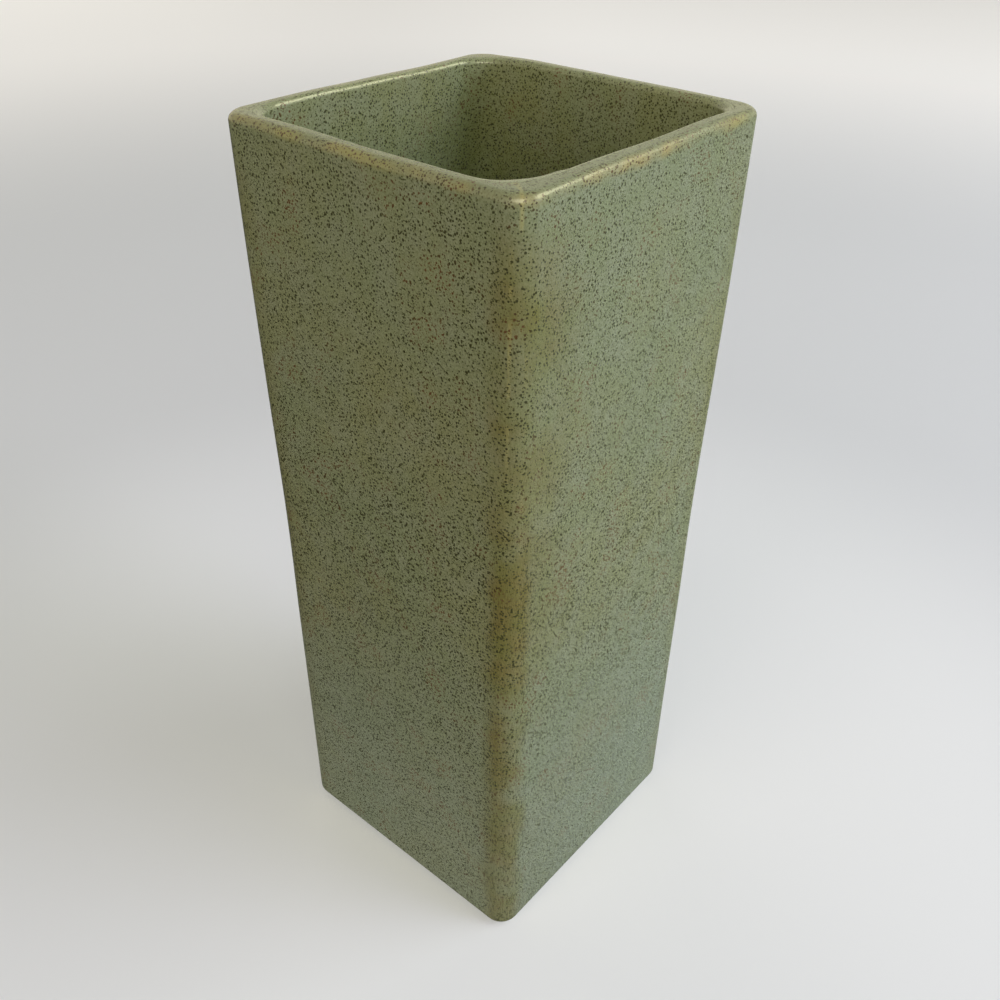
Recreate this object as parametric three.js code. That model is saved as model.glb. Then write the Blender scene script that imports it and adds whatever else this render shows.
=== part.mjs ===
// A square ceramic vase that widens slightly to an open mouth.
// The fired clay body stands on a dry foot ring and carries three coats of glaze:
// one over the outside and the rim, one lining the inside, and one in the recess under the base.
// Millimetres, +Z up, origin on the standing surface under the middle of the vase.
import * as THREE from "three";

// Overall form
const height = 254;
const mouthWidth = 99.4;
const footWidth = 95.2;
const sideHollow = 0.4;
const outerCornerRadius = 6.5;
const innerCornerRadius = 4.5;

// Wall, rim and floor, measured over the glaze
const wallThickness = 5.4;
const rimOuterRound = 2.3;
const rimInnerRound = 1.6;
const floorThickness = 8;
const floorFillet = 8;
const floorCornerGrowth = 5;

// Glaze
const glazeThickness = 0.6;
const glazeClearance = 0.3;

// Foot
const glazeLift = 0.7;
const underEdgeRound = 2.4;
const footInset = 3.6;
const footRingWidth = 6;
const footChamfer = 0.5;
const recessDepth = 2.6;
const recessFillet = 1.2;
const recessCornerRadius = 7;

// Fineness of the facets
const cornerSteps = 6;
const roundSteps = 4;
const filletSteps = 5;
const wallLevels = 8;

// A round never takes more than its share of the wall or land that carries it
const outerRound = Math.min(rimOuterRound, wallThickness * 0.55);
const innerRound = Math.min(rimInnerRound, wallThickness * 0.4);
const underRound = Math.min(underEdgeRound, footInset - glazeClearance * 2);
const smallestRound = 0.1;

// Depth of each surface below the glazed face that shows
const glazeFace = 0;
const glazeBack = glazeThickness;
const clayFace = glazeThickness + glazeClearance;

const claySurface = new THREE.MeshStandardMaterial({ color: 0xc2a98a, roughness: 0.9, metalness: 0 });
const outerSurface = new THREE.MeshStandardMaterial({ color: 0x7c8569, roughness: 0.4, metalness: 0 });
const liningSurface = new THREE.MeshStandardMaterial({ color: 0x6a6f56, roughness: 0.4, metalness: 0 });
const baseSurface = new THREE.MeshStandardMaterial({ color: 0x707860, roughness: 0.45, metalness: 0 });

// Half the outside width at a height: a straight taper, drawn in a little at mid height
function outerHalfWidth(z) {
  const share = z / height;
  const straight = THREE.MathUtils.lerp(footWidth, mouthWidth, share) / 2;
  return straight - sideHollow * Math.sin(Math.PI * share);
}

// A station is one level of the section: how far in from the outer face, how high, and its corner radius
function station(inset, z, corner) {
  return { inset, z, corner: Math.max(corner, smallestRound) };
}

// A quarter round as a run of stations, from startAngle to endAngle about its centre
function quarterRound(centreInset, centreZ, radius, startAngle, endAngle, steps, cornerOf) {
  const run = [];
  for (let i = 0; i <= steps; i++) {
    const angle = THREE.MathUtils.lerp(startAngle, endAngle, i / steps);
    const inset = centreInset + radius * Math.cos(angle);
    run.push(station(inset, centreZ + radius * Math.sin(angle), cornerOf(inset)));
  }
  return run;
}

// Outside corners get tighter with depth, inside corners wider, and the rim passes from one to the other
function outsideCorner(inset) {
  return outerCornerRadius - inset;
}

function rimCorner(depth) {
  return (inset) => {
    const share = (inset - depth) / (wallThickness - 2 * depth);
    return THREE.MathUtils.lerp(outerCornerRadius - depth, innerCornerRadius + depth, share);
  };
}

// The under edge at a depth, from its inner end outwards and up to the outer face
function underEdge(depth) {
  const radius = Math.max(underRound - depth, smallestRound);
  const centreZ = glazeLift + depth + radius;
  return quarterRound(depth + radius, centreZ, radius, -Math.PI / 2, -Math.PI, roundSteps, outsideCorner);
}

// The outer face at a depth, upwards between the under edge and the rim
function outerFace(depth) {
  const low = glazeLift + underRound;
  const high = height - outerRound;
  const run = [];
  for (let i = 1; i < wallLevels; i++) {
    run.push(station(depth, THREE.MathUtils.lerp(low, high, i / wallLevels), outsideCorner(depth)));
  }
  return run;
}

// The rim's outer round at a depth, over the top
function rimOutside(depth) {
  const radius = Math.max(outerRound - depth, smallestRound);
  const centreZ = height - depth - radius;
  return quarterRound(depth + radius, centreZ, radius, Math.PI, Math.PI / 2, roundSteps, rimCorner(depth));
}

// The rim's inner round at a depth, from the top down to the inner face
function rimInside(depth) {
  const radius = Math.max(innerRound - depth, smallestRound);
  const centreInset = wallThickness - depth - radius;
  const centreZ = height - depth - radius;
  return quarterRound(centreInset, centreZ, radius, Math.PI / 2, 0, roundSteps, rimCorner(depth));
}

// The inner face and the fillet at its foot at a depth, downwards to the edge of the flat floor
function innerFaceAndFillet(depth) {
  const corner = innerCornerRadius + depth;
  const radius = floorFillet + depth;
  const centreInset = wallThickness + floorFillet;
  const centreZ = floorThickness + floorFillet;
  const high = height - innerRound;
  const run = [];
  for (let i = 1; i < wallLevels; i++) {
    const z = THREE.MathUtils.lerp(high, centreZ, i / wallLevels);
    run.push(station(wallThickness - depth, z, corner));
  }
  const reach = (inset) => (inset - wallThickness + depth) / radius;
  const growing = (inset) => corner + floorCornerGrowth * reach(inset);
  run.push(...quarterRound(centreInset, centreZ, radius, Math.PI, Math.PI * 1.5, filletSteps, growing));
  return run;
}

// The rounded-square outline of one station, anticlockwise from above
function outline({ inset, z, corner }) {
  const half = outerHalfWidth(z) - inset;
  const radius = Math.min(corner, half);
  const points = [];
  for (let side = 0; side < 4; side++) {
    const turn = (side * Math.PI) / 2;
    const centre = new THREE.Vector2(half - radius, half - radius).rotateAround(new THREE.Vector2(), turn);
    for (let i = 0; i <= cornerSteps; i++) {
      const angle = turn + (i / cornerSteps) * (Math.PI / 2);
      points.push(new THREE.Vector3(
        centre.x + radius * Math.cos(angle),
        centre.y + radius * Math.sin(angle),
        z,
      ));
    }
  }
  return points;
}

// Joins a section's stations into one closed skin. A section runs anticlockwise, with the middle of the
// vase on its left. It either closes on itself or starts and ends on the middle line at given heights.
function sweepSection(stations, middle) {
  const rings = stations.map(outline);
  const perRing = rings[0].length;
  const positions = rings.flat().flatMap((point) => point.toArray());
  const triangles = [];
  const ringCount = middle ? rings.length - 1 : rings.length;
  for (let ring = 0; ring < ringCount; ring++) {
    const below = ring * perRing;
    const above = ((ring + 1) % rings.length) * perRing;
    for (let i = 0; i < perRing; i++) {
      const next = (i + 1) % perRing;
      triangles.push(below + i, below + next, above + next);
      triangles.push(below + i, above + next, above + i);
    }
  }
  if (middle) {
    const startPoint = positions.length / 3;
    const endPoint = startPoint + 1;
    const lastRing = (rings.length - 1) * perRing;
    positions.push(0, 0, middle.startZ, 0, 0, middle.endZ);
    for (let i = 0; i < perRing; i++) {
      const next = (i + 1) % perRing;
      triangles.push(startPoint, next, i);
      triangles.push(endPoint, lastRing + i, lastRing + next);
    }
  }
  const geometry = new THREE.BufferGeometry();
  geometry.setAttribute("position", new THREE.Float32BufferAttribute(positions, 3));
  geometry.setIndex(triangles);
  geometry.computeVertexNormals();
  return geometry;
}

// The recess under the base and the ring that the vase stands on, from the recess outwards
function footStations() {
  const ringInside = footInset + footRingWidth;
  const recessCorner = (inset) => recessCornerRadius + ringInside - inset;
  const ceilingRound = quarterRound(
    ringInside + recessFillet, recessDepth - recessFillet, recessFillet,
    Math.PI / 2, Math.PI, roundSteps, recessCorner,
  );
  return [
    ...ceilingRound,
    station(ringInside, footChamfer, recessCornerRadius),
    station(ringInside - footChamfer, 0, recessCornerRadius + footChamfer),
    station(footInset + footChamfer, 0, outsideCorner(footInset + footChamfer)),
    station(footInset, footChamfer, outsideCorner(footInset)),
    station(footInset, glazeLift + clayFace, outsideCorner(footInset)),
  ];
}

// The fired clay: foot ring, four walls, rim and floor in one piece
function makeClayBody() {
  const section = [
    ...footStations(),
    ...underEdge(clayFace),
    ...outerFace(clayFace),
    ...rimOutside(clayFace),
    ...rimInside(clayFace),
    ...innerFaceAndFillet(clayFace),
  ];
  return sweepSection(section, { startZ: recessDepth, endZ: floorThickness - clayFace });
}

// The outer coat: from beside the foot ring, round the under edge, up the walls and over the rim
function makeOuterGlaze() {
  const foot = footInset - glazeClearance;
  const seam = wallThickness - innerRound - glazeClearance;
  const shown = [
    station(foot, glazeLift, outsideCorner(foot)),
    ...underEdge(glazeFace),
    ...outerFace(glazeFace),
    ...rimOutside(glazeFace),
    station(seam, height, rimCorner(glazeFace)(seam)),
  ];
  const against = [
    station(foot, glazeLift + glazeBack, outsideCorner(foot)),
    ...underEdge(glazeBack),
    ...outerFace(glazeBack),
    ...rimOutside(glazeBack),
    station(seam, height - glazeBack, rimCorner(glazeBack)(seam)),
  ];
  return sweepSection([...shown, ...against.reverse()], null);
}

// The lining: over the flat floor, up its fillet and the inner walls, and round the rim's inner edge
function makeLiningGlaze() {
  const seam = wallThickness - innerRound;
  const shown = [...rimInside(glazeFace), ...innerFaceAndFillet(glazeFace)];
  const against = [
    station(seam, height - glazeBack, rimCorner(glazeBack)(seam)),
    ...rimInside(glazeBack),
    ...innerFaceAndFillet(glazeBack),
  ];
  const middle = { startZ: floorThickness - glazeBack, endZ: floorThickness };
  return sweepSection([...against.reverse(), ...shown], middle);
}

// The thin coat in the recess, inside the foot ring
function makeBaseGlaze() {
  const edge = footInset + footRingWidth + recessFillet + glazeClearance;
  const top = recessDepth - glazeClearance;
  const bottom = top - glazeThickness;
  const easing = glazeThickness / 2;
  const section = [
    station(edge + easing, bottom, recessCornerRadius - easing),
    station(edge, bottom + easing, recessCornerRadius),
    station(edge, top, recessCornerRadius),
  ];
  return sweepSection(section, { startZ: bottom, endZ: top });
}

function namedPiece(name, geometry, material) {
  const piece = new THREE.Mesh(geometry, material);
  piece.name = name;
  return piece;
}

const vase = new THREE.Group();
vase.add(
  namedPiece("clay_body", makeClayBody(), claySurface),
  namedPiece("outer_glaze", makeOuterGlaze(), outerSurface),
  namedPiece("lining_glaze", makeLiningGlaze(), liningSurface),
  namedPiece("base_glaze", makeBaseGlaze(), baseSurface),
);

export default vase;
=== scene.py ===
import math

import bmesh
import bpy
from mathutils import Matrix, Vector, noise


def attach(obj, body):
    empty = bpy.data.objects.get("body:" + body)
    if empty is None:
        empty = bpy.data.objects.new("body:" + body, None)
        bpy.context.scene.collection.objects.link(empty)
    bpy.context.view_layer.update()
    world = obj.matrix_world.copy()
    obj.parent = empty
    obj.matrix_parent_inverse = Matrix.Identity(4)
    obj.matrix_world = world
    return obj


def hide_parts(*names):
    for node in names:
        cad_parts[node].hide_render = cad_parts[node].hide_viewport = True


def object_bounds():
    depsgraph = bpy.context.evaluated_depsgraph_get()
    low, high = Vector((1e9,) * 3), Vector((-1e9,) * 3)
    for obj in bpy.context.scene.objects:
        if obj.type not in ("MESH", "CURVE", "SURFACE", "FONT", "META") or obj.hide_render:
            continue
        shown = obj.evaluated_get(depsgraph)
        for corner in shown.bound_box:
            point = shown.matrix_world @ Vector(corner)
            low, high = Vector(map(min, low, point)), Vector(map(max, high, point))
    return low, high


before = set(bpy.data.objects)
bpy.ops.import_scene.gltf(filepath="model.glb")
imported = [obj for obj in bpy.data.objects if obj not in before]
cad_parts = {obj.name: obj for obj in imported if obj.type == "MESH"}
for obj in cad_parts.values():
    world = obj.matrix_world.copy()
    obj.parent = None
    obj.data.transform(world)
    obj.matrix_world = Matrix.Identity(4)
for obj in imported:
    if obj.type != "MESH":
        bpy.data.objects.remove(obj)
cad_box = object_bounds()

# Sizes of the vase, in metres: the frame gives the height and half the width at the mouth
HEIGHT = cad_box[1].z
MOUTH_HALF = cad_box[1].x
FOOT_HALF = 0.0476

# The sides draw in by a hollow, most at mid height, with a slow wave on it from this share of the height up
SIDE_HOLLOW = 0.0004
SIDE_WAVE = 0.0002
SIDE_WAVE_START = 0.37

# The radius of the corners seen from above
OUTER_CORNER = 0.0065
INNER_CORNER = 0.0045
SMALLEST_CORNER = 0.0004

# Wall, rim and inside floor, measured over the glaze
WALL = 0.0054
RIM_OUTER_ROUND = 0.0023
RIM_INNER_ROUND = 0.0016
FLOOR_TOP = 0.008
FLOOR_FILLET = 0.008
FLOOR_CORNER_GROWTH = 0.005

# The glaze's thickness, the gap between a coat and the clay, the hairline between two coats, and the depth of
# the clay's faces below the glaze's
GLAZE = 0.0006
GLAZE_GAP = 0.0003
HAIRLINE = 0.00003
CLAY_DEPTH = GLAZE + GLAZE_GAP

# The under edge, and the foot ring with the recess inside it
GLAZE_LIFT = 0.0007
UNDER_ROUND = 0.0024
FOOT_INSET = 0.0036
FOOT_RING = 0.006
FOOT_CHAMFER = 0.0005
RECESS = 0.0026
RECESS_FILLET = 0.0012
RECESS_CORNER = 0.007

# The inside corners are fuller at the rim, most of all the one nearest the camera. The wall to its right is
# thicker there too, with a small swelling beside the corner.
FULL_CORNER = 0.0105
FULL_NEAR_CORNER = 0.0135
FULL_WALL = 0.0012
FULL_SWELLING = 0.0011
FULL_CORNER_DEPTH = 0.05

# Where these forms come in, each a soft step from nothing at its first value to all at its second: through
# the wall as a share of its thickness, along the square of half width 1, and round the corner by how far the
# outline's way out points to the +X side
FULL_THROUGH_WALL = (0.3, 1)
NEAR_CORNER_REACH = (0.75, 1.0)
THICK_SIDE_REACH = (0.8, 1)
THICK_WALL_REACH = (0.5, -0.6)
SWELLING_REACH = (-0.8, -1.0)
SWELLING_TURN = (0.4, 0.85)

# How far the rim sinks below its highest place, anticlockwise from the middle of the +X side, and how far
# down the walls follow it
RIM_SINK = (0.0003, 0.0, 0.0004, 0.0003, 0.0004, 0.0005, 0.0014, 0.0015,
            0.0010, 0.0006, 0.0007, 0.0005, 0.0008, 0.0006, 0.0003, 0.0002)
RIM_SINK_DEPTH = 0.05

# The slow waves that the kiln leaves in the walls. A wave lower than WAVE_LEVEL draws a wall in. They come in
# between the two heights of WAVE_RISE.
WAVE_DEPTH = 0.00018
WAVE_SCALE = 22
WAVE_STRETCH = 0.7
WAVE_START = Vector((3, 7, 1))
WAVE_LEVEL = 0.45
WAVE_RISE = (0.01, 0.12)

# The camera, found by fitting the vase's outline in the photograph. Its angles are degrees: anticlockwise
# from the -Y side, up, and of tilt. Its distance from the middle of the vase and its shifts are in heights of
# the vase.
CAMERA_LENS = 37.841
CAMERA_AZIMUTH = 39.936
CAMERA_ELEVATION = 34.837
CAMERA_ROLL = 0.966
CAMERA_DISTANCE = 1.3341
CAMERA_TO_RIGHT = 0.0099
CAMERA_TO_TOP = 0.0164
CAMERA_CLIP = 0.01

# Where the lamps point
LAMP_AIM = Vector((0, 0, 0.12))

# The room round the vase: as light on it, as the camera sees it and as the gloss sees it; and the painted
# glow of the paper as the gloss sees it, dim and bright
ROOM_LIGHT = (0.02, 0.02, 0.02, 1)
ROOM_SEEN = (0.82, 0.80, 0.77, 1)
ROOM_GLOSS = (0.95, 0.90, 0.66, 1)
FLOOR_GLOSS_DIM = (0.06, 0.07, 0.07, 1)
FLOOR_GLOSS_BRIGHT = (0.38, 0.44, 0.32, 1)

# How far the paper reaches from the vase to each side
PAPER_REACH = 4

# The paper as the camera sees it: its colour, and the painted glow on it near the vase, where it lightens the
# vase's shadow, behind it and far off
PAPER_SEEN = (0.50, 0.475, 0.425, 1)
PAPER_GLOW_NEAR = (0.28, 0.285, 0.27, 1)
PAPER_GLOW_MIDDLE = (0.19, 0.195, 0.185, 1)
PAPER_GLOW_FAR = (0.43, 0.415, 0.385, 1)

# Where the paper changes, each a soft step between two places in metres: out from the vase to the middle and
# the far glow, towards the window for its light and gloss and for its glow, and across that way for its gloss
PAPER_TO_MIDDLE = (0.18, 0.36)
PAPER_TO_FAR = (0.65, 1.4)
PAPER_TO_WINDOW = (-0.3, 0.15)
PAPER_TO_RIGHT = (-0.2, 0.4)
PAPER_ACROSS = (-0.15, 0.25)

# The strength of the paper's glow from left to right, of its gloss across that way, and of its shine
PAPER_GLOW_STRENGTH = (0.98, 1.2)
PAPER_GLOSS_STRENGTH = (0.6, 1.1)
PAPER_SHINE = 0.1

# Fineness of the meshes
CORNER_STEPS = 12
SIDE_STEPS = 34
CLAY_SIDE_STEPS = 8
ROUND_STEPS = 8
WALL_LEVELS = 96
FLOOR_RINGS = 7
MERGE_DISTANCE = 1e-7


def blend(low, high, share):
    return low + (high - low) * share


def smooth(low, high, value):
    """A soft step from 0 to 1 as value goes from low to high."""
    share = max(0.0, min(1.0, (value - low) / (high - low)))
    return share * share * (3 - 2 * share)


def half_width(z):
    """Half the outside width at a height: a straight taper, drawn in at mid height and fuller above."""
    share = max(0.0, min(1.0, z / HEIGHT))
    along = max(0.0, (share - SIDE_WAVE_START) / (1 - SIDE_WAVE_START))
    drawn_in = SIDE_HOLLOW * math.sin(math.pi * share) + SIDE_WAVE * math.sin(2 * math.pi * along)
    return blend(FOOT_HALF, MOUTH_HALF, share) - drawn_in


# The section is a run of stations: how far in from the outer face, how high, and the corner's radius there


def quarter(inset, z, radius, start, end, corner):
    run = []
    for step in range(ROUND_STEPS + 1):
        angle = math.radians(blend(start, end, step / ROUND_STEPS))
        at = inset + radius * math.cos(angle)
        run.append((at, z + radius * math.sin(angle), corner(at)))
    return run


def outside_corner(inset):
    return max(OUTER_CORNER - inset, SMALLEST_CORNER)


def rim_corner(depth):
    def corner(inset):
        share = (inset - depth) / (WALL - 2 * depth)
        return blend(OUTER_CORNER - depth, INNER_CORNER + depth, share)
    return corner


def under_edge(depth):
    return quarter(UNDER_ROUND, GLAZE_LIFT + UNDER_ROUND, UNDER_ROUND - depth, 270, 180, outside_corner)


def outer_face(depth):
    low = GLAZE_LIFT + UNDER_ROUND
    high = HEIGHT - RIM_OUTER_ROUND
    levels = range(1, WALL_LEVELS)
    return [(depth, blend(low, high, i / WALL_LEVELS), outside_corner(depth)) for i in levels]


def rim_outside(depth):
    centre = HEIGHT - RIM_OUTER_ROUND
    return quarter(RIM_OUTER_ROUND, centre, RIM_OUTER_ROUND - depth, 180, 90, rim_corner(depth))


def rim_inside(depth):
    centre = HEIGHT - RIM_INNER_ROUND
    return quarter(WALL - RIM_INNER_ROUND, centre, RIM_INNER_ROUND - depth, 90, 0, rim_corner(depth))


def inner_face(depth):
    low = FLOOR_TOP + FLOOR_FILLET
    high = HEIGHT - RIM_INNER_ROUND
    levels = range(1, WALL_LEVELS)
    return [(WALL - depth, blend(high, low, i / WALL_LEVELS), INNER_CORNER + depth) for i in levels]


def floor_fillet(depth):
    radius = FLOOR_FILLET + depth

    def corner(inset):
        return INNER_CORNER + depth + FLOOR_CORNER_GROWTH * (inset - WALL + depth) / radius
    return quarter(WALL + FLOOR_FILLET, FLOOR_TOP + FLOOR_FILLET, radius, 180, 270, corner)


def foot_ring():
    inside = FOOT_INSET + FOOT_RING

    def corner(inset):
        return RECESS_CORNER + inside - inset
    run = quarter(inside + RECESS_FILLET, RECESS - RECESS_FILLET, RECESS_FILLET, 90, 180, corner)
    run.append((inside, FOOT_CHAMFER, RECESS_CORNER))
    run.append((inside - FOOT_CHAMFER, 0, RECESS_CORNER + FOOT_CHAMFER))
    run.append((FOOT_INSET + FOOT_CHAMFER, 0, outside_corner(FOOT_INSET + FOOT_CHAMFER)))
    run.append((FOOT_INSET, FOOT_CHAMFER, outside_corner(FOOT_INSET)))
    run.append((FOOT_INSET, GLAZE_LIFT + CLAY_DEPTH, outside_corner(FOOT_INSET)))
    return run


def outline_places(side_steps):
    """The rounded square, anticlockwise from above. Each place has its core on the square, its way out, its
    share of the way along a side from the nearer corner, and its angle from the middle of that corner."""
    places = []
    for side in range(4):
        turn = Matrix.Rotation(math.radians(90 * side), 2)
        for step in range(CORNER_STEPS + 1):
            angle = math.radians(90 * step / CORNER_STEPS)
            out = turn @ Vector((math.cos(angle), math.sin(angle)))
            places.append((turn @ Vector((1, 1)), out, 0.0, abs(angle - math.radians(45))))
        for step in range(1, side_steps):
            share = step / side_steps
            core = turn @ Vector((1 - 2 * share, 1))
            nearer = 2 * min(share, 1 - share)
            places.append((core, turn @ Vector((0, 1)), nearer, math.radians(45)))
    return places


def rim_sink(point):
    """How far the rim sinks at a place, on a soft curve through the places of RIM_SINK."""
    square = max(abs(point.x), abs(point.y), 1e-6)
    x, y = point.x / square, point.y / square
    if abs(x) >= abs(y):
        lap = y / 2 if x > 0 else 2 - y / 2
    else:
        lap = 1 - x / 2 if y > 0 else 3 + x / 2
    lap = (lap % 4) * len(RIM_SINK) / 4
    before = int(lap) % len(RIM_SINK)
    after = (before + 1) % len(RIM_SINK)
    return blend(RIM_SINK[before], RIM_SINK[after], smooth(0, 1, lap - int(lap)))


def kiln_warp(point):
    """The slow waves and the sagging rim that the walls take in the kiln. The waves fade at the foot."""
    rise = smooth(*WAVE_RISE, point.z)
    wave = noise.noise(Vector((point.x, point.y, point.z * WAVE_STRETCH)) * WAVE_SCALE + WAVE_START)
    outward = Vector((point.x, point.y, 0)).normalized()
    drawn = WAVE_DEPTH * (wave - WAVE_LEVEL) * rise
    sink = rim_sink(point) * smooth(HEIGHT - RIM_SINK_DEPTH, HEIGHT, point.z)
    return point + outward * drawn - Vector((0, 0, sink))


def new_part(geom, kind):
    return [item for item in geom if isinstance(item, kind)]


def mesh_object(name, bm):
    mesh = bpy.data.meshes.new(name)
    bm.to_mesh(mesh)
    bm.free()
    made = bpy.data.objects.new(name, mesh)
    bpy.context.scene.collection.objects.link(made)
    return made


def extrude_ring(bm, edges):
    """Extrudes a ring of edges in place, and returns the new ring's vertices and edges."""
    geom = bmesh.ops.extrude_edge_only(bm, edges=edges)["geom"]
    verts = new_part(geom, bmesh.types.BMVert)
    fresh = set(verts)
    return verts, [edge for edge in new_part(geom, bmesh.types.BMEdge) if fresh.issuperset(edge.verts)]


def close_middle(bm, edges):
    """Fills the flat middle inside a ring with smaller rings down to a point."""
    for rings_left in range(FLOOR_RINGS, 0, -1):
        verts, edges = extrude_ring(bm, edges)
        share = (rings_left - 1) / rings_left
        bmesh.ops.scale(bm, verts=verts, vec=(share, share, 1))


def sweep(name, stations, side_steps=SIDE_STEPS, rim_length=0.0, close_start=False, close_end=False):
    """Extrudes the outline from station to station. It keeps three numbers on the mesh: corner_away, the
    length along the outline from the middle of the nearer corner, rim_away, the length down the section from
    the rim's outer round, and near_corner, 1 at the corner nearest the camera and 0 at the others."""
    places = outline_places(side_steps)
    bm = bmesh.new()
    place_index = bm.verts.layers.int.new("place")
    corner_away = bm.verts.layers.float.new("corner_away")
    rim_away = bm.verts.layers.float.new("rim_away")
    near_corner = bm.verts.layers.float.new("near_corner")

    def lay_ring(verts, station, length):
        inset, z, radius = station
        half = half_width(z) - inset
        inside = smooth(*FULL_THROUGH_WALL, inset / WALL) * smooth(HEIGHT - FULL_CORNER_DEPTH, HEIGHT, z)
        for vert in verts:
            core, out, along, angle = places[vert[place_index]]
            at_near_corner = smooth(*NEAR_CORNER_REACH, (core.x - core.y) / 2)
            full_radius = blend(FULL_CORNER, FULL_NEAR_CORNER, at_near_corner)
            own_radius = radius + (full_radius - INNER_CORNER) * inside
            flat = core * (half - own_radius) + out * own_radius
            fuller = FULL_WALL * smooth(*THICK_WALL_REACH, core.y)
            swelling = FULL_SWELLING * smooth(*SWELLING_TURN, out.x) * smooth(*SWELLING_REACH, core.y)
            flat.x -= (fuller + swelling) * inside * smooth(*THICK_SIDE_REACH, core.x)
            vert.co = kiln_warp(Vector((flat.x, flat.y, z)))
            vert[corner_away] = angle * radius + along * (half - radius)
            vert[rim_away] = length
            vert[near_corner] = at_near_corner

    made = bmesh.ops.create_circle(bm, segments=len(places), radius=1)["verts"]
    for index, vert in enumerate(made):
        vert[place_index] = index
    length = rim_length
    lay_ring(made, stations[0], length)
    first = list(bm.edges)
    last = first
    for before, station in zip(stations, stations[1:]):
        verts, last = extrude_ring(bm, last)
        length -= math.dist(before[:2], station[:2])
        lay_ring(verts, station, length)
    if close_start:
        close_middle(bm, first)
    if close_end:
        close_middle(bm, last)
    bmesh.ops.remove_doubles(bm, verts=bm.verts, dist=MERGE_DISTANCE)
    bmesh.ops.recalc_face_normals(bm, faces=bm.faces)
    for face in bm.faces:
        face.smooth = True
    for edge in bm.edges:
        edge.smooth = not edge.is_boundary
    return mesh_object(name, bm)


def thicken(piece, thickness):
    wall = piece.modifiers.new("glaze thickness", "SOLIDIFY")
    wall.thickness = thickness
    wall.offset = -1
    wall.use_even_offset = True


def section_length(stations):
    return sum(math.dist(a[:2], b[:2]) for a, b in zip(stations, stations[1:]))


def outer_glaze():
    foot = FOOT_INSET - GLAZE_GAP
    seam = WALL - RIM_INNER_ROUND - HAIRLINE
    below = [(foot, GLAZE_LIFT, outside_corner(foot)), *under_edge(0), *outer_face(0)]
    rim = rim_outside(0)
    to_rim = section_length(below + rim[:ROUND_STEPS // 2 + 1])
    piece = sweep("outer_glaze_coat", [*below, *rim, (seam, HEIGHT, rim_corner(0)(seam))], rim_length=to_rim)
    thicken(piece, GLAZE)
    return piece


def lining_glaze():
    stations = [*rim_inside(0), *inner_face(0), *floor_fillet(0)]
    over_rim = RIM_OUTER_ROUND * math.pi / 4 + WALL - RIM_OUTER_ROUND - RIM_INNER_ROUND
    piece = sweep("lining_glaze_coat", stations, rim_length=-over_rim, close_end=True)
    thicken(piece, GLAZE)
    return piece


def clay_body():
    depth = CLAY_DEPTH
    outside = [*foot_ring(), *under_edge(depth), *outer_face(depth), *rim_outside(depth)]
    inside = [*rim_inside(depth), *inner_face(depth), *floor_fillet(depth)]
    return sweep("fired_clay_body", outside + inside, CLAY_SIDE_STEPS, close_start=True, close_end=True)


def base_glaze():
    edge = FOOT_INSET + FOOT_RING + RECESS_FILLET + GLAZE_GAP
    low = RECESS - GLAZE_GAP - GLAZE
    piece = sweep("base_glaze_coat", [(edge, low, RECESS_CORNER)], CLAY_SIDE_STEPS, close_end=True)
    thicken(piece, GLAZE)
    return piece


# Colours


def screen(red, green, blue):
    """A colour given as it shows on a screen, 0 to 255, as the shaders' own linear values."""
    def linear(value):
        share = value / 255
        return share / 12.92 if share <= 0.04045 else ((share + 0.055) / 1.055) ** 2.4
    return linear(red), linear(green), linear(blue), 1.0


# The glaze: the body's two greens, its pale clouds, its dark grain, the painted bounce light that pales it
# towards the foot, the thin glaze down the corners with the fine line in it, the gold round the rim, and the
# speckles
GREENS = (screen(121, 127, 87), screen(124, 125, 81))
PALE_CLOUDS = screen(129, 132, 99)
DARK_GRAIN = screen(95, 98, 60)
PAINTED_BOUNCE_LIGHT = screen(132, 144, 126)
THIN_GLAZE = (screen(101, 97, 43), screen(103, 92, 40))
FINE_LINE = screen(170, 159, 88)
RIM_GOLD = (screen(148, 131, 74), screen(138, 135, 70))
SPECKLE_IRON = screen(43, 42, 0)
SPECKLE_RUST = screen(86, 54, 12)

# Painted light: factors that make the lining, and the coat under the base, paler than the outside glaze
LINING_PAINTED_LIGHT = (1.23, 1.23, 1.21, 1)

# The bare clay and the grog in it
CLAY_SHADES = (screen(190, 166, 132), screen(170, 143, 110))
CLAY_GROG = screen(110, 84, 60)

# The light that the paper throws on the vase, far from the window and near it
PAPER_THROWN_DIM = screen(114, 116, 124)
PAPER_THROWN_BRIGHT = screen(240, 240, 238)
BLACK = (0, 0, 0, 1)

# Shader building


def feed(tree, socket, value):
    if isinstance(value, bpy.types.NodeSocket):
        tree.links.new(value, socket)
    else:
        socket.default_value = value


def calc(tree, operation, *values, clamp=False):
    node = tree.nodes.new("ShaderNodeMath")
    node.operation = operation
    node.use_clamp = clamp
    for socket, value in zip(node.inputs, values):
        feed(tree, socket, value)
    return node.outputs[0]


def remap(tree, value, low, high, to_low=0.0, to_high=1.0):
    """A soft step from to_low to to_high as value goes from low to high."""
    node = tree.nodes.new("ShaderNodeMapRange")
    node.interpolation_type = "SMOOTHSTEP"
    for socket, fed in zip(node.inputs, (value, low, high, to_low, to_high)):
        feed(tree, socket, fed)
    return node.outputs[0]


def cloud(tree, vector, scale, detail):
    """A noise of so many waves to the metre, with its finer detail."""
    node = tree.nodes.new("ShaderNodeTexNoise")
    feed(tree, node.inputs["Vector"], vector)
    feed(tree, node.inputs["Scale"], scale)
    node.inputs["Detail"].default_value = detail
    return node.outputs


def patches(tree, vector, scale, detail, low, high, to_low=0.0, to_high=1.0):
    """Soft patches: to_low where the noise is under low, to_high where it is over high."""
    return remap(tree, cloud(tree, vector, scale, detail)["Fac"], low, high, to_low, to_high)


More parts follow.
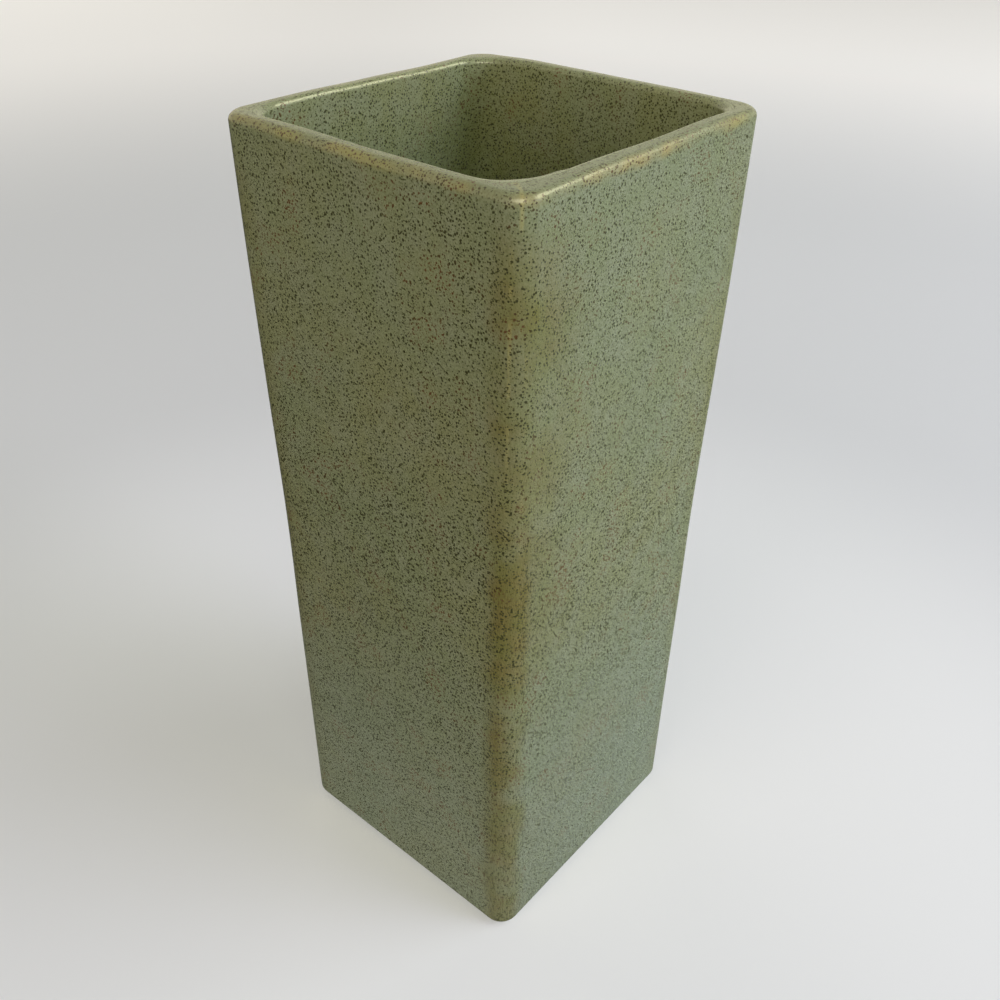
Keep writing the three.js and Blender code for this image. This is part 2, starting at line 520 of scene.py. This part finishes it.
def sway(tree, vector, scale, reach):
    """A noise that swings to either side of 0, by as much as reach."""
    return calc(tree, "MULTIPLY_ADD", cloud(tree, vector, scale, 4.0)["Fac"], 2 * reach, -reach)


def axes(tree, vector):
    node = tree.nodes.new("ShaderNodeSeparateXYZ")
    feed(tree, node.inputs[0], vector)
    return node.outputs


def mix(tree, share, first, second, kind="MIX"):
    node = tree.nodes.new("ShaderNodeMix")
    node.data_type = "RGBA"
    node.blend_type = kind
    feed(tree, node.inputs[0], share)
    feed(tree, node.inputs[6], first)
    feed(tree, node.inputs[7], second)
    return node.outputs[2]


def new_group(name, inputs, outputs):
    tree = bpy.data.node_groups.new(name, "ShaderNodeTree")
    kinds = {"vector": "NodeSocketVector", "number": "NodeSocketFloat", "colour": "NodeSocketColor"}
    for label, kind in inputs:
        tree.interface.new_socket(label, in_out="INPUT", socket_type=kinds[kind])
    for label, kind in outputs:
        tree.interface.new_socket(label, in_out="OUTPUT", socket_type=kinds[kind])
    return tree, tree.nodes.new("NodeGroupInput").outputs, tree.nodes.new("NodeGroupOutput").inputs


def place_group(tree, group, **values):
    node = tree.nodes.new("ShaderNodeGroup")
    node.node_tree = group
    for label, value in values.items():
        feed(tree, node.inputs[label], value)
    return node.outputs


# A speckle's edge wobbles in so many waves to a cell, by this share of a cell, and the smallest speckle has
# this share of the largest one's radius
SPECKLE_WAVES = 1.9
SPECKLE_WOBBLE = 0.2
SPECKLE_SMALLEST = 0.55


def speckle_group():
    """Iron speckles of mixed size. Scale is the number of cells to a metre, share the part of them that hold
    a speckle, size the largest radius in cells, and soft the share of a radius that its edge takes."""
    inputs = [("vector", "vector"), ("scale", "number"), ("share", "number"), ("size", "number"),
              ("soft", "number")]
    tree, given, out = new_group("iron speckles", inputs, [("mask", "number")])
    waves = calc(tree, "MULTIPLY", given["scale"], SPECKLE_WAVES)
    wobble = cloud(tree, given["vector"], waves, 1.0)["Color"]
    shift = tree.nodes.new("ShaderNodeVectorMath")
    shift.operation = "MULTIPLY_ADD"
    feed(tree, shift.inputs[0], wobble)
    reach = calc(tree, "DIVIDE", SPECKLE_WOBBLE, given["scale"])
    feed(tree, shift.inputs[1], reach)
    feed(tree, shift.inputs[2], given["vector"])
    cells = tree.nodes.new("ShaderNodeTexVoronoi")
    feed(tree, cells.inputs["Vector"], shift.outputs[0])
    feed(tree, cells.inputs["Scale"], given["scale"])
    chance = tree.nodes.new("ShaderNodeTexWhiteNoise")
    feed(tree, chance.inputs["Vector"], cells.outputs["Color"])
    split = tree.nodes.new("ShaderNodeSeparateColor")
    feed(tree, split.inputs[0], chance.outputs["Color"])
    held = calc(tree, "LESS_THAN", split.outputs[0], given["share"])
    spread = calc(tree, "MULTIPLY_ADD", split.outputs[1], 1 - SPECKLE_SMALLEST, SPECKLE_SMALLEST)
    radius = calc(tree, "MULTIPLY", given["size"], spread)
    inner = calc(tree, "MULTIPLY", radius, calc(tree, "SUBTRACT", 1.0, given["soft"]))
    spot = remap(tree, cells.outputs["Distance"], radius, inner)
    feed(tree, out["mask"], calc(tree, "MULTIPLY", held, spot))
    return tree


# Where the glaze runs thin, in metres. The bands down a corner and round the rim and the fine line are gone
# at their first distance and full at their second. The bands' sides sway, and on the right-hand side the
# rim's band is shifted down.
CORNER_BAND = (0.011, 0.003)
CORNER_BAND_SWAY = 0.004
RIM_BAND = (0.0026, 0.0003)
RIM_BAND_SWAY = 0.0015
RIM_BAND_SHIFT = -0.0009
CORNER_LINE = (0.0007, 0.0001)

# The right-hand side, by its place on the X axis, and the painted shade on it, drawn in the thin glaze's
# colour, that darkens it towards the corner nearest the camera: where it comes in along the Y axis, towards
# that corner, and where it weakens, down from the rim
RIGHT_FACE = (0.041, 0.046)
PAINTED_SHADE_ALONG = (-0.005, -0.044)
PAINTED_SHADE_DOWN = (0.05, 0.2)

# Down from the rim: where a corner's band comes in and fades, where the whole line ends and the line parts,
# where the two broken ones start and fade, and how far from the middle of the corner they run
BAND_START = (0.001, 0.022)
BAND_FADE = (0.08, 0.25)
LINE_END = (0.0055, 0.0085)
LINE_PARTING = (0.0085, 0.0095)
BROKEN_START = (0.0095, 0.014)
BROKEN_FADE = (0.03, 0.09)
BROKEN_APART = 0.0020

# How strong the thin glaze and the painted shade on the right-hand side are: at the three far corners against
# the near one, and where each form of them is at its most or its least
FAR_CORNERS = 0.4
BAND_LEAST = 0.7
PAINTED_SHADE_MOST = 0.75
PAINTED_SHADE_LEAST = 0.3
BROKEN_MOST = 0.8
BROKEN_LEAST = 0.25
CORNER_PATCH_LEAST = 0.35
RIM_PATCH_LEAST = 0.15

# The noises that sway it and break it up, in waves to a metre
CORNER_SWAY_WAVES = 70.0
CORNER_PATCH_WAVES = 55.0
BROKEN_WAVES = 130.0
RIM_SWAY_WAVES = 60.0
RIM_PATCH_WAVES = 70.0


def edge_break_group():
    """Where the glaze runs thin: down the upright corners and round the rim's outer edge, with wandering
    sides. A fine line leaves the rim at each corner and soon ends, and two broken ones run on below it. The
    corner mask also carries painted shade that darkens the right-hand side towards the corner nearest the
    camera, most near the rim."""
    tree, given, out = new_group(
        "glaze break",
        [("vector", "vector"), ("corner", "number"), ("rim", "number"), ("near", "number")],
        [("corner", "number"), ("lines", "number"), ("rim", "number")])
    vector = given["vector"]
    strength = calc(tree, "MULTIPLY_ADD", given["near"], 1 - FAR_CORNERS, FAR_CORNERS)
    wander = sway(tree, vector, CORNER_SWAY_WAVES, CORNER_BAND_SWAY)
    patchy = patches(tree, vector, CORNER_PATCH_WAVES, 3.0, 0.3, 0.62, CORNER_PATCH_LEAST, 1.0)
    place = calc(tree, "ADD", given["corner"], wander)
    split = axes(tree, vector)
    right_side = remap(tree, split["X"], *RIGHT_FACE)
    # Painted shade: the right-hand side darkens towards the corner nearest the camera, and less so further
    # down from the rim
    painted_shade = calc(tree, "MULTIPLY", right_side, remap(tree, split["Y"], *PAINTED_SHADE_ALONG, 0.0, PAINTED_SHADE_MOST))
    painted_shade = calc(tree, "MULTIPLY", painted_shade, remap(tree, given["rim"], *PAINTED_SHADE_DOWN, 1.0, PAINTED_SHADE_LEAST))
    band = calc(tree, "MAXIMUM", painted_shade, remap(tree, place, *CORNER_BAND))
    strong = calc(tree, "MULTIPLY", strength, remap(tree, given["rim"], *BAND_FADE, 1.0, BAND_LEAST))
    strong = calc(tree, "MULTIPLY", strong, remap(tree, given["rim"], *BAND_START))
    feed(tree, out["corner"], calc(tree, "MULTIPLY", band, calc(tree, "MULTIPLY", strong, patchy)))

    apart = remap(tree, given["rim"], *LINE_PARTING, 0.0, BROKEN_APART)
    off_line = calc(tree, "ABSOLUTE", calc(tree, "SUBTRACT", given["corner"], apart))
    line = remap(tree, off_line, *CORNER_LINE)
    broken = patches(tree, vector, BROKEN_WAVES, 2.0, 0.45, 0.6)
    whole = remap(tree, given["rim"], *LINE_END, 1.0, 0.0)
    parted = calc(tree, "MULTIPLY", broken, remap(tree, given["rim"], *BROKEN_START, 0.0, BROKEN_MOST))
    parted = calc(tree, "MULTIPLY", parted, remap(tree, given["rim"], *BROKEN_FADE, 1.0, BROKEN_LEAST))
    fading = calc(tree, "MAXIMUM", whole, parted)
    feed(tree, out["lines"], calc(tree, "MULTIPLY", line, calc(tree, "MULTIPLY", strength, fading)))

    drift = sway(tree, vector, RIM_SWAY_WAVES, RIM_BAND_SWAY)
    drift = calc(tree, "MULTIPLY_ADD", right_side, RIM_BAND_SHIFT, drift)
    rim = calc(tree, "ABSOLUTE", calc(tree, "ADD", given["rim"], drift))
    patchy = patches(tree, vector, RIM_PATCH_WAVES, 2.0, 0.36, 0.62, RIM_PATCH_LEAST, 1.0)
    feed(tree, out["rim"], calc(tree, "MULTIPLY", remap(tree, rim, *RIM_BAND), patchy))
    return tree


# The glaze's noises, in waves to a metre: broad and fine clouds, grain, the speckles' crowds and rust, and
# the relief's slow swell and its fine peel
BROAD_WAVES = 18.0
FINE_WAVES = 130.0
GRAIN_WAVES = 1900.0
CROWD_WAVES = 60.0
RUST_WAVES = 90.0
SWELL_WAVES = 110.0
PEEL_WAVES = 420.0

# How fully each layer of the glaze, and the painted bounce light at the foot, covers what lies under it
PALE_CLOUD_COVER = 0.5
GRAIN_COVER = 0.5
BOUNCE_LIGHT_COVER = 0.3
THIN_COVER = 0.95
LINE_COVER = 0.35
GOLD_COVER = 0.75
DUST_COVER = 0.7
SMALL_COVER = 0.97
LARGE_COVER = 0.9

# The glaze's roughness, with what its clouds and its speckles add, and the shares of its relief
ROUGHNESS = 0.16
ROUGHER_CLOUDS = 0.14
ROUGHER_SPECKLES = 0.12
PEEL_SHARE = 0.25
SWELL_SHARE = 0.9
SPECKLE_SHARE = 0.08

# The speckles, in cells to a metre for each of the three sizes. The share of the cells with a small one
# varies in crowds between these two, dust has a part of that, and the share of the large ones is even.
DUST_CELLS = 1500.0
SMALL_CELLS = 1080.0
LARGE_CELLS = 330.0
CROWD = (0.75, 1.05)
DUST_PART = 0.85
LARGE_SHARE = 0.045

# Their radius in cells: of the dust, of the large ones, and of the small ones at the rim, half way and at the
# foot, with the factor that these take on the right-hand side
DUST_RADIUS = 0.44
LARGE_RADIUS = 0.15
SMALL_RADIUS_RIM = 0.41
SMALL_RADIUS_MIDDLE = 0.47
SMALL_RADIUS_FOOT = 0.43
SMALL_ON_RIGHT = 0.97

# The part of each radius that the speckle's edge takes
DUST_SOFT = 0.4
SMALL_SOFT = 0.1
LARGE_SOFT = 0.3

# How far the speckles turn from iron to rust, in patches and at the rim
RUST_IN_PATCHES = 0.8
RUST_AT_RIM = 0.7

# Heights, in metres, between which the painted bounce light pales the glaze towards the foot and the small
# speckles change, and the places on the X axis between which the small speckles shrink on the right-hand side
BOUNCE_LIGHT_HEIGHTS = (0.14, 0.02)
UPPER_PART = (0.14, 0.2)
LOWER_PART = (0.02, 0.12)
RIGHT_FACE_SPECKLES = (0.04, 0.046)


def glaze_group(speckles):
    """The speckled green glaze: its mottled body, thin golden edges, three sizes of iron speckle, and painted
    bounce light that pales it towards the foot. The two numbers after a noise are the values between which it
    steps."""
    inputs = [("vector", "vector"), ("corner", "number"), ("lines", "number"), ("rim", "number"),
              ("density", "number")]
    outputs = [("colour", "colour"), ("roughness", "number"), ("height", "number")]
    tree, given, out = new_group("speckled green glaze", inputs, outputs)
    vector = given["vector"]
    split = axes(tree, vector)
    broad = cloud(tree, vector, BROAD_WAVES, 3.0)["Fac"]
    fine = cloud(tree, vector, FINE_WAVES, 4.0)["Fac"]
    grain = cloud(tree, vector, GRAIN_WAVES, 1.0)["Fac"]
    body = mix(tree, remap(tree, broad, 0.36, 0.64), *GREENS)
    body = mix(tree, remap(tree, fine, 0.35, 0.7, 0.0, PALE_CLOUD_COVER), body, PALE_CLOUDS)
    body = mix(tree, remap(tree, grain, 0.36, 0.62, GRAIN_COVER, 0.0), body, DARK_GRAIN)
    # Painted bounce light: the glaze turns paler and bluer towards the foot, where the floor's light falls
    body = mix(tree, remap(tree, split["Z"], *BOUNCE_LIGHT_HEIGHTS, 0.0, BOUNCE_LIGHT_COVER), body, PAINTED_BOUNCE_LIGHT)
    thin = mix(tree, remap(tree, fine, 0.35, 0.65), *THIN_GLAZE)
    # The corner mask also carries the painted shade of the right-hand side, drawn in the thin glaze's colour
    body = mix(tree, calc(tree, "MULTIPLY", given["corner"], THIN_COVER), body, thin)
    body = mix(tree, calc(tree, "MULTIPLY", given["lines"], LINE_COVER), body, FINE_LINE)
    golden = mix(tree, remap(tree, broad, 0.4, 0.6), *RIM_GOLD)
    body = mix(tree, calc(tree, "MULTIPLY", given["rim"], GOLD_COVER), body, golden)

    crowd = patches(tree, vector, CROWD_WAVES, 3.0, 0.3, 0.65, *CROWD)
    crowd = calc(tree, "MULTIPLY", crowd, given["density"])
    upper = remap(tree, split["Z"], *UPPER_PART, SMALL_RADIUS_MIDDLE, SMALL_RADIUS_RIM)
    lower = remap(tree, split["Z"], *LOWER_PART, SMALL_RADIUS_FOOT, SMALL_RADIUS_MIDDLE)
    on_right = remap(tree, split["X"], *RIGHT_FACE_SPECKLES, 1.0, SMALL_ON_RIGHT)
    radius = calc(tree, "MULTIPLY", calc(tree, "MINIMUM", upper, lower), on_right)
    few = calc(tree, "MULTIPLY", crowd, DUST_PART)
    dust = place_group(tree, speckles, vector=vector, scale=DUST_CELLS, share=few, size=DUST_RADIUS,
                       soft=DUST_SOFT)["mask"]
    small = place_group(tree, speckles, vector=vector, scale=SMALL_CELLS, share=crowd, size=radius,
                        soft=SMALL_SOFT)["mask"]
    large = place_group(tree, speckles, vector=vector, scale=LARGE_CELLS, share=LARGE_SHARE,
                        size=LARGE_RADIUS, soft=LARGE_SOFT)["mask"]
    rust = patches(tree, vector, RUST_WAVES, 2.0, 0.52, 0.68, 0.0, RUST_IN_PATCHES)
    rust = calc(tree, "MAXIMUM", rust, calc(tree, "MULTIPLY", given["rim"], RUST_AT_RIM))
    dark = mix(tree, rust, SPECKLE_IRON, SPECKLE_RUST)
    for mask, cover in ((dust, DUST_COVER), (small, SMALL_COVER), (large, LARGE_COVER)):
        body = mix(tree, calc(tree, "MULTIPLY", mask, cover), body, dark)
    feed(tree, out["colour"], body)

    spots = calc(tree, "MAXIMUM", small, large)
    rough = calc(tree, "MULTIPLY_ADD", fine, ROUGHER_CLOUDS, ROUGHNESS)
    rough = calc(tree, "MULTIPLY_ADD", spots, ROUGHER_SPECKLES, rough, clamp=True)
    feed(tree, out["roughness"], rough)
    peel = cloud(tree, vector, PEEL_WAVES, 2.0)["Fac"]
    swell = cloud(tree, vector, SWELL_WAVES, 1.0)["Fac"]
    relief = calc(tree, "MULTIPLY_ADD", peel, PEEL_SHARE, calc(tree, "MULTIPLY", swell, SWELL_SHARE))
    feed(tree, out["height"], calc(tree, "MULTIPLY_ADD", spots, SPECKLE_SHARE, relief))
    return tree


def new_material(name):
    material = bpy.data.materials.new(name)
    material.use_nodes = True
    tree = material.node_tree
    return material, tree, tree.nodes["Principled BSDF"]


def object_place(tree):
    return tree.nodes.new("ShaderNodeTexCoord").outputs["Object"]


def number_on_mesh(tree, name):
    node = tree.nodes.new("ShaderNodeAttribute")
    node.attribute_name = name
    return node.outputs["Fac"]


# The glaze's index of refraction, and the depth in metres and the strength of the relief that the shading
# gives to the glaze and to the clay
GLAZE_IOR = 1.5
GLAZE_RELIEF = (0.0004, 0.35)
CLAY_RELIEF = (0.0003, 0.5)

# The clay's noises, in waves to a metre, how fully the grog covers it, and the roughness of clay and paper
CLAY_WAVES = 40.0
GROG_WAVES = 1400.0
GROG_COVER = 0.6
MATT_ROUGHNESS = 0.9


def bumped(tree, shader, height, distance, strength):
    bump = tree.nodes.new("ShaderNodeBump")
    bump.inputs["Distance"].default_value = distance
    bump.inputs["Strength"].default_value = strength
    feed(tree, bump.inputs["Height"], height)
    feed(tree, shader.inputs["Normal"], bump.outputs["Normal"])


def glazed(tree, shader, glaze, colour):
    feed(tree, shader.inputs["Base Color"], colour)
    feed(tree, shader.inputs["Roughness"], glaze["roughness"])
    bumped(tree, shader, glaze["height"], *GLAZE_RELIEF)
    shader.inputs["IOR"].default_value = GLAZE_IOR


def glaze_material(name, speckled_glaze, glaze_break, density):
    """The outside coat, which runs thin at its edges."""
    material, tree, shader = new_material(name)
    place = object_place(tree)
    thin = place_group(tree, glaze_break, vector=place, corner=number_on_mesh(tree, "corner_away"),
                       rim=number_on_mesh(tree, "rim_away"), near=number_on_mesh(tree, "near_corner"))
    glaze = place_group(tree, speckled_glaze, vector=place, corner=thin["corner"], lines=thin["lines"],
                        rim=thin["rim"], density=density)
    glazed(tree, shader, glaze, glaze["colour"])
    return material


def lining_material(name, speckled_glaze, density):
    """A coat with no thin edges, made a little paler by painted light: the lining, and the coat under the
    base.
    """
    material, tree, shader = new_material(name)
    place = object_place(tree)
    glaze = place_group(tree, speckled_glaze, vector=place, corner=0.0, lines=0.0, rim=0.0, density=density)
    # Painted light lifts the coat's colour
    glazed(tree, shader, glaze, mix(tree, 1.0, glaze["colour"], LINING_PAINTED_LIGHT, "MULTIPLY"))
    return material


def clay_material():
    material, tree, shader = new_material("bare fired clay")
    place = object_place(tree)
    broad = patches(tree, place, CLAY_WAVES, 4.0, 0.35, 0.65)
    grog = cloud(tree, place, GROG_WAVES, 2.0)["Fac"]
    body = mix(tree, broad, *CLAY_SHADES)
    body = mix(tree, remap(tree, grog, 0.58, 0.7, 0.0, GROG_COVER), body, CLAY_GROG)
    feed(tree, shader.inputs["Base Color"], body)
    shader.inputs["Roughness"].default_value = MATT_ROUGHNESS
    bumped(tree, shader, grog, *CLAY_RELIEF)
    return material


def dress(piece, node, material):
    piece.data.materials.append(material)
    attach(piece, "root")
    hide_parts(node)


def paper_material():
    """Pale paper for the eye, with a painted glow that lightens the vase's shadow near it and is stronger far
    off and towards the right. The gloss of the vase sees it glow dim, and brighter towards the window, as a
    painted reflection."""
    material, tree, shader = new_material("pale paper")
    rays = tree.nodes.new("ShaderNodeLightPath").outputs
    place = object_place(tree)
    split = axes(tree, place)
    towards = calc(tree, "ADD", split["X"], split["Y"])
    to_window = remap(tree, towards, *PAPER_TO_WINDOW)
    thrown = mix(tree, to_window, PAPER_THROWN_DIM, PAPER_THROWN_BRIGHT)
    thrown = mix(tree, rays["Is Glossy Ray"], thrown, BLACK)
    feed(tree, shader.inputs["Base Color"], mix(tree, rays["Is Camera Ray"], thrown, PAPER_SEEN))
    shader.inputs["Roughness"].default_value = MATT_ROUGHNESS
    shader.inputs["Specular IOR Level"].default_value = PAPER_SHINE
    away = tree.nodes.new("ShaderNodeVectorMath")
    away.operation = "LENGTH"
    feed(tree, away.inputs[0], place)
    distance = away.outputs["Value"]
    # Painted light: the paper's glow near the vase, between and far off
    haze = mix(tree, remap(tree, distance, *PAPER_TO_MIDDLE), PAPER_GLOW_NEAR, PAPER_GLOW_MIDDLE)
    haze = mix(tree, remap(tree, distance, *PAPER_TO_FAR), haze, PAPER_GLOW_FAR)
    across = calc(tree, "SUBTRACT", split["Y"], split["X"])
    lit = calc(tree, "MULTIPLY", to_window, remap(tree, across, *PAPER_ACROSS, *PAPER_GLOSS_STRENGTH))
    # Painted reflection: what the gloss sees of the paper glows brighter towards the window
    gloss = mix(tree, lit, FLOOR_GLOSS_DIM, FLOOR_GLOSS_BRIGHT)
    feed(tree, shader.inputs["Emission Color"], mix(tree, rays["Is Glossy Ray"], haze, gloss))
    glow = remap(tree, towards, *PAPER_TO_RIGHT, *PAPER_GLOW_STRENGTH)
    seen = calc(tree, "MULTIPLY", rays["Is Camera Ray"], glow)
    seen = calc(tree, "MAXIMUM", seen, rays["Is Glossy Ray"])
    feed(tree, shader.inputs["Emission Strength"], seen)
    return material


def stage_floor():
    bm = bmesh.new()
    bmesh.ops.create_grid(bm, x_segments=1, y_segments=1, size=PAPER_REACH)
    floor = mesh_object("paper_floor", bm)
    floor.data.materials.append(paper_material())


def photo_camera():
    """The camera stands where the photograph was taken from."""
    data = bpy.data.cameras.new("photo_camera")
    camera = bpy.data.objects.new("photo_camera", data)
    bpy.context.scene.collection.objects.link(camera)
    bpy.context.scene.camera = camera
    data.lens = CAMERA_LENS
    data.clip_start = CAMERA_CLIP
    azimuth = math.radians(CAMERA_AZIMUTH)
    elevation = math.radians(CAMERA_ELEVATION)
    roll = math.radians(CAMERA_ROLL)
    back = Vector((math.sin(azimuth) * math.cos(elevation),
                   -math.cos(azimuth) * math.cos(elevation),
                   math.sin(elevation)))
    right = Vector((0, 0, 1)).cross(back).normalized()
    up = back.cross(right)
    tilted_right = right * math.cos(roll) + up * math.sin(roll)
    tilted_up = up * math.cos(roll) - right * math.sin(roll)
    offset = back * CAMERA_DISTANCE + tilted_right * CAMERA_TO_RIGHT + tilted_up * CAMERA_TO_TOP
    place = Vector((0, 0, HEIGHT / 2)) + offset * HEIGHT
    turn = Matrix((tilted_right, tilted_up, back)).transposed().to_4x4()
    camera.matrix_world = Matrix.Translation(place) @ turn


def area_lamp(name, place, size, power, colour, on_surface=True, in_gloss=True):
    """A round lamp that points at the vase. It lights surfaces, shows in their gloss, or both."""
    data = bpy.data.lights.new(name, "AREA")
    data.shape = "DISK"
    data.size = size
    data.energy = power
    data.color = colour
    lamp = bpy.data.objects.new(name, data)
    bpy.context.scene.collection.objects.link(lamp)
    lamp.location = place
    lamp.rotation_mode = "QUATERNION"
    lamp.rotation_quaternion = (Vector(place) - LAMP_AIM).to_track_quat("Z", "Y")
    lamp.visible_diffuse = on_surface
    lamp.visible_glossy = in_gloss


def pale_world():
    """A dim room all round, pale where the camera or the gloss of the vase sees it."""
    world = bpy.data.worlds.new("pale room")
    bpy.context.scene.world = world
    world.use_nodes = True
    tree = world.node_tree
    shade = tree.nodes["Background"]
    rays = tree.nodes.new("ShaderNodeLightPath").outputs
    room = mix(tree, rays["Is Glossy Ray"], ROOM_LIGHT, ROOM_GLOSS)
    feed(tree, shade.inputs["Color"], mix(tree, rays["Is Camera Ray"], room, ROOM_SEEN))
    shade.inputs["Strength"].default_value = 1.0


# The pieces, each riding on the one body, in place of its node

speckle_nodes = speckle_group()
glaze_nodes = glaze_group(speckle_nodes)
break_nodes = edge_break_group()
dress(outer_glaze(), "outer_glaze",
      glaze_material("speckled green glaze outside", glaze_nodes, break_nodes, density=1.0))
dress(lining_glaze(), "lining_glaze",
      lining_material("speckled green glaze inside", glaze_nodes, density=1.1))
dress(base_glaze(), "base_glaze",
      lining_material("speckled green glaze under the base", glaze_nodes, density=0.7))
dress(clay_body(), "clay_body", clay_material())

# The floor, camera, room and lamps

stage_floor()
photo_camera()
pale_world()
area_lamp("window", (1.52, 1.16, 1.73), 2.0, 35, (0.95, 1.08, 1.25), in_gloss=False)
area_lamp("window_gloss", (1.35, 1.35, 1.73), 1.5, 42, (1.0, 0.98, 0.68), on_surface=False)
area_lamp("side_light", (1.75, 0.70, 0.50), 1.4, 22, (1.0, 1.0, 1.7), in_gloss=False)
area_lamp("left_light", (0.0, -2.45, 0.64), 2.0, 36.5, (1.1, 0.99, 1.12), in_gloss=False)
area_lamp("room_front", (1.35, -1.35, 1.73), 2.0, 15.5, (0.9, 1.0, 0.85), in_gloss=False)
area_lamp("front_gloss", (1.35, -1.35, 1.73), 1.8, 150, (1.0, 0.95, 0.66), on_surface=False)
area_lamp("far_light", (-1.7, 0.5, 0.9), 2.0, 10, (1.0, 1.0, 1.0), in_gloss=False)

bpy.context.scene.view_settings.view_transform = "Standard"
